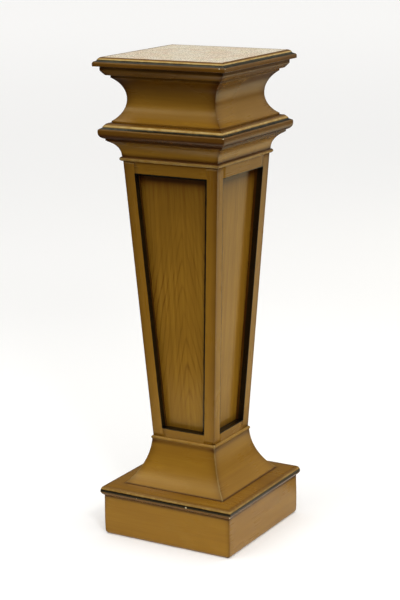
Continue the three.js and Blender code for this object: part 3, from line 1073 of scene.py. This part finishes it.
def make_camera():
    data = bpy.data.cameras.new("camera")
    data.sensor_width = 36
    data.lens = CAMERA_LENS
    data.clip_end = 100
    camera = bpy.data.objects.new("camera", data)
    bpy.context.scene.collection.objects.link(camera)
    back = outward(CAMERA_AZIMUTH, CAMERA_ELEVATION)
    right = Vector((math.cos(CAMERA_AZIMUTH), math.sin(CAMERA_AZIMUTH), 0))
    up = back.cross(right)
    turn = Matrix.Rotation(CAMERA_ROLL, 3, back)
    right, up = turn @ right, turn @ up
    place = Vector((0, 0, CAMERA_AIM_HEIGHT)) + back * CAMERA_DISTANCE
    place += right * CAMERA_OFFSET[0] + up * CAMERA_OFFSET[1]
    axes = Matrix((right, up, back)).transposed().to_4x4()
    camera.matrix_world = Matrix.Translation(place) @ axes
    bpy.context.scene.camera = camera


def soft_light(name, azimuth, elevation, distance, size, power, colour=(1.0, 1.0, 1.0)):
    """An area light aimed at the middle of the pedestal from a direction in degrees."""
    data = bpy.data.lights.new(name, "AREA")
    data.shape = "RECTANGLE"
    data.size, data.size_y = size
    data.energy = power
    data.color = colour
    lamp = bpy.data.objects.new(name, data)
    bpy.context.scene.collection.objects.link(lamp)
    way = outward(math.radians(azimuth), math.radians(elevation))
    lamp.location = Vector((0, 0, AIM_HEIGHT)) + way * distance
    lamp.rotation_mode = "QUATERNION"
    lamp.rotation_quaternion = way.to_track_quat("Z", "Y")
    lamp.visible_camera = False


def ceiling_light(azimuth, elevation, spread, strength):
    """A very wide, even light from overhead, like a white ceiling."""
    data = bpy.data.lights.new("ceiling", "SUN")
    data.angle = math.radians(spread)
    data.energy = strength
    lamp = bpy.data.objects.new("ceiling", data)
    bpy.context.scene.collection.objects.link(lamp)
    way = outward(math.radians(azimuth), math.radians(elevation))
    lamp.rotation_mode = "QUATERNION"
    lamp.rotation_quaternion = way.to_track_quat("Z", "Y")


def stage_mesh(name, points, faces, material):
    """A piece of the studio, which is not part of the object."""
    mesh = bpy.data.meshes.new(name)
    mesh.from_pydata(points, [], faces)
    mesh.materials.append(material)
    thing = bpy.data.objects.new(name, mesh)
    bpy.context.scene.collection.objects.link(thing)
    return thing


def seen_only_by_camera(thing):
    thing.visible_diffuse = False
    thing.visible_glossy = False
    thing.visible_shadow = False


def paper_material(name, colour, near, dip, far):
    """Matt paper with a little light of its own: near the pedestal, further off, and far away."""
    n = Nodes(name)
    away = n.distance(n.object_place())
    close = n.steps(away, *NEAR_GLOW, near, dip, smooth=True)
    beyond = n.steps(away, *FAR_GLOW, 0.0, far, smooth=True)
    n.set(
        Base_Color=colour,
        Roughness=0.9,
        Specular_IOR_Level=0.1,
        Emission_Color=(1.0, 0.99, 0.96, 1),
        Emission_Strength=n.maths("ADD", close, beyond),
    )
    return n.material


def flat_sheet(name, low, high, level, material):
    """A level rectangle between two opposite corners."""
    corners = [
        (low[0], low[1], level),
        (high[0], low[1], level),
        (high[0], high[1], level),
        (low[0], high[1], level),
    ]
    return stage_mesh(name, corners, [(0, 1, 2, 3)], material)


def build_floor(level):
    """A wide white floor for the camera, and pale sheets just under it that throw light back up.

    The sheets lie in front and behind on the right, so the left of the room stays dark.
    """
    white = paper_material("floor_paper", (0.93, 0.925, 0.915, 1), 0.11, 0.03, 0.08)
    cream = paper_material("front_sheet_paper", (0.93, 0.91, 0.86, 1), 0.11, 0.11, 0.0)
    straw = paper_material("back_sheet_paper", (0.93, 0.85, 0.58, 1), 0.16, 0.13, 0.0)
    corner = (FLOOR_HALF, FLOOR_HALF)
    seen_only_by_camera(flat_sheet("floor", (-FLOOR_HALF, -FLOOR_HALF), corner, level, white))
    flat_sheet("front_sheet", *FRONT_SHEET, level - SHEET_DROP, cream)
    flat_sheet("back_sheet", *BACK_SHEET, level - SHEET_DROP, straw)


def build_wall(level):
    """A round far wall, evenly pale, that only the camera sees."""
    n = Nodes("wall_paint")
    n.set(
        Base_Color=(0, 0, 0, 1),
        Roughness=1.0,
        Specular_IOR_Level=0.0,
        Emission_Color=(0.93, 0.925, 0.905, 1),
        Emission_Strength=1.0,
    )
    angles = [2 * math.pi * i / WALL_PARTS for i in range(WALL_PARTS)]
    ring = [(WALL_REACH * math.cos(a), WALL_REACH * math.sin(a)) for a in angles]
    points = [(x, y, height) for height in (level, WALL_HEIGHT) for x, y in ring]
    faces = []
    for i in range(WALL_PARTS):
        j = (i + 1) % WALL_PARTS
        faces.append((i, j, WALL_PARTS + j, WALL_PARTS + i))
    seen_only_by_camera(stage_mesh("backdrop", points, faces, n.material))


def build_stage():
    """Floor, wall, a dim even room, and the studio's lights."""
    level = cad_box[0].z - FLOOR_DROP
    build_floor(level)
    build_wall(level)
    world = bpy.data.worlds.new("studio")
    world.use_nodes = True
    background = world.node_tree.nodes["Background"]
    background.inputs[0].default_value = WORLD_COLOUR
    background.inputs[1].default_value = WORLD_STRENGTH
    bpy.context.scene.world = world
    bpy.context.scene.view_settings.view_transform = "Standard"
    ceiling_light(azimuth=60, elevation=82, spread=100, strength=2.5)
    soft_light("key", azimuth=44, elevation=34, distance=3.2, size=(0.5, 0.5), power=26)
    soft_light("side", azimuth=-32, elevation=36, distance=3.4, size=(2.0, 0.7), power=17)
    warm_white = (1.0, 0.93, 0.74)
    soft_light(
        "white_card", azimuth=155, elevation=22, distance=3.8, size=(3.0, 2.6), power=14, colour=warm_white
    )


moulded = lacquered_wood("lacquered_moulding", straight_figure, PAINT_GREEN)
framing = lacquered_wood("lacquered_frame", straight_figure, PAINT_BLACK)
veneer = lacquered_wood("lacquered_veneer", veneer_figure, PAINT_BLACK, 0.2, (0.14, 0.24))
build_mouldings(moulded, framing)
build_column(framing, veneer)
build_slab(marble_material())
finish_hidden_nodes(raw_wood_material())
make_camera()
build_stage()
